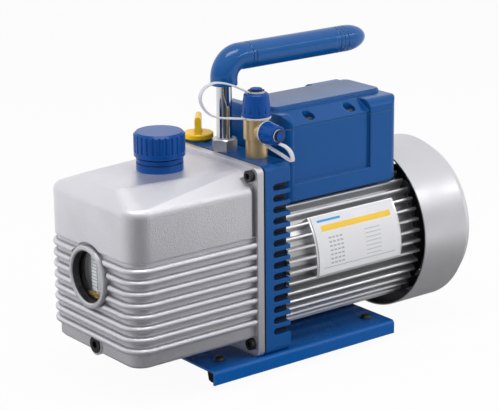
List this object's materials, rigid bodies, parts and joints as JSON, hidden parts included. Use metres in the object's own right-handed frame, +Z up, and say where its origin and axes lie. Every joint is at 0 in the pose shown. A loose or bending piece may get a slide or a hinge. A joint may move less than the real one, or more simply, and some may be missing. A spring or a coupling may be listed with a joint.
{
  "type": "rotary vane vacuum pump",
  "caption": "Portable oil-sealed rotary vane vacuum pump: finned oil tank, finned motor with fan cover, terminal box, carry handle and capped inlet tee on a footed tray.",
  "frame": {"origin": "on the floor under the middle of the overall box", "axes": "+Z up, +X along the shaft from the oil tank to the fan, -Y the side with the inlet tee and the rating plate"},
  "size_m": [0.337, 0.138, 0.25],
  "materials": {
    "black_plastic": "fine grain",
    "black_steel": "black oxide",
    "blue_plastic": "moulded, satin gloss",
    "brass": "machined",
    "chrome": "polished",
    "copper": "enamelled wire",
    "cover_aluminium": "satin spun sheet",
    "flange_grey": "light grey painted casting",
    "glass": "clear",
    "label_white": "satin film",
    "lamination": "varnished",
    "motor_aluminium": "bare extrusion",
    "painted_blue": "semi-gloss paint",
    "pump_iron": "machined",
    "rubber": "matt",
    "strap_natural": "translucent natural",
    "tank_silver": "silver painted casting",
    "vane_composite": "ground",
    "white_plastic": "matt",
    "yellow_plastic": "moulded",
    "zinc_steel": "zinc plated"
  },
  "bodies": {
    "pump": {"base_plate": "painted_blue", "rubber_feet": "rubber", "foot_screws": "black_steel", "bracket": "painted_blue", "bracket_bolts": "zinc_steel", "flange_plate": "flange_grey", "tank_gasket": "rubber", "oil_tank": "tank_silver", "tank_screws": "black_steel", "sight_bezel": "cover_aluminium", "sight_glass": "glass", "sight_seal": "rubber", "oil_level_plate": "white_plastic", "oil_fill_neck": "blue_plastic", "pump_stator": "pump_iron", "pump_rear_plate": "pump_iron", "pump_front_plate": "pump_iron", "pump_bolts": "black_steel", "discharge_valve": "zinc_steel", "shaft_seal": "rubber", "motor_housing": "motor_aluminium", "end_shields": "motor_aluminium", "bearings": "zinc_steel", "stator_core": "lamination", "windings": "copper", "motor_screws": "black_steel", "rating_plate": "label_white", "fan_cover": "cover_aluminium", "cover_standoffs": "zinc_steel", "cover_screws": "zinc_steel", "terminal_box": "blue_plastic", "box_cover": "blue_plastic", "box_screws": "black_steel", "capacitor": "white_plastic", "switch_frame": "black_plastic", "power_inlet": "black_plastic", "handle_grip": "blue_plastic", "handle_post": "chrome", "handle_nut": "chrome", "inlet_fitting": "brass", "top_tether": "strap_natural", "side_tether": "strap_natural", "ballast_body": "brass"},
    "rotor": {"pump_rotor": "pump_iron", "coupling": "zinc_steel", "motor_shaft": "zinc_steel", "rotor_core": "lamination", "fan": "black_plastic"},
    "vane_carrier": {"vane_spacer": "zinc_steel"},
    "vane_pair": {"vanes": "vane_composite"},
    "oil_cap_lift": {"oil_cap_seal": "rubber"},
    "oil_cap": {"oil_cap": "blue_plastic"},
    "drain_lift": {"drain_seal": "rubber"},
    "drain_plug": {"drain_plug": "black_steel"},
    "top_cap_lift": {"top_cap_ring": "strap_natural"},
    "top_cap": {"top_cap": "blue_plastic"},
    "side_cap_lift": {"side_cap_ring": "strap_natural"},
    "side_cap": {"side_cap": "blue_plastic"},
    "ballast_knob": {"ballast_knob": "yellow_plastic"},
    "rocker": {"rocker": "black_plastic"}
  },
  "joints": [
    {"name": "rotor_spin", "type": "hinge", "parent": "pump", "child": "rotor", "pos_m": [-0.0455, 0, 0.078], "axis": [1, 0, 0], "continuous": true},
    {"name": "vane_orbit", "type": "hinge", "parent": "pump", "child": "vane_carrier", "pos_m": [-0.088, 0, 0.0765], "axis": [1, 0, 0], "continuous": true},
    {"name": "vane_turn", "type": "hinge", "parent": "vane_carrier", "child": "vane_pair", "pos_m": [-0.088, 0, 0.075], "axis": [1, 0, 0], "continuous": true},
    {"name": "oil_cap_rise", "type": "slide", "parent": "pump", "child": "oil_cap_lift", "axis": [0, 0, 1], "range_m": [0, 0.01]},
    {"name": "oil_cap_unscrew", "type": "hinge", "parent": "oil_cap_lift", "child": "oil_cap", "pos_m": [-0.099, 0, 0.174], "axis": [0, 0, 1], "range_deg": [0, 1800]},
    {"name": "drain_plug_out", "type": "slide", "parent": "pump", "child": "drain_lift", "axis": [-1, 0, 0], "range_m": [0, 0.009]},
    {"name": "drain_plug_unscrew", "type": "hinge", "parent": "drain_lift", "child": "drain_plug", "pos_m": [-0.1595, -0.003, 0.038], "axis": [-1, 0, 0], "range_deg": [0, 2160]},
    {"name": "top_cap_rise", "type": "slide", "parent": "pump", "child": "top_cap_lift", "axis": [0, 0, 1], "range_m": [0, 0.01016], "deforming": ["top_tether"]},
    {"name": "top_cap_unscrew", "type": "hinge", "parent": "top_cap_lift", "child": "top_cap", "pos_m": [-0.0305, -0.031, 0.1975], "axis": [0, 0, 1], "range_deg": [0, 2880]},
    {"name": "side_cap_out", "type": "slide", "parent": "pump", "child": "side_cap_lift", "axis": [0, -1, 0], "range_m": [0, 0.01016], "deforming": ["side_tether"]},
    {"name": "side_cap_unscrew", "type": "hinge", "parent": "side_cap_lift", "child": "side_cap", "pos_m": [-0.0305, -0.0425, 0.1888], "axis": [0, -1, 0], "range_deg": [0, 2880]},
    {"name": "ballast_turn", "type": "hinge", "parent": "pump", "child": "ballast_knob", "pos_m": [-0.0335, 0.04, 0.1688], "axis": [0, 0, 1], "range_deg": [0, 90]},
    {"name": "rocker_tilt", "type": "hinge", "parent": "pump", "child": "rocker", "pos_m": [0.1035, 0.019, 0.166], "axis": [0, 1, 0], "range_deg": [0, 18]}
  ],
  "couplings": [
    {"joint": "vane_orbit", "follows": "rotor_spin", "ratio": 2},
    {"joint": "vane_turn", "follows": "rotor_spin", "ratio": -1},
    {"joint": "oil_cap_rise", "follows": "oil_cap_unscrew", "m_per_rad": 0.00031831},
    {"joint": "drain_plug_out", "follows": "drain_plug_unscrew", "m_per_rad": 0.00023873},
    {"joint": "top_cap_rise", "follows": "top_cap_unscrew", "m_per_rad": 0.00020213},
    {"joint": "side_cap_out", "follows": "side_cap_unscrew", "m_per_rad": 0.00020213}
  ]
}
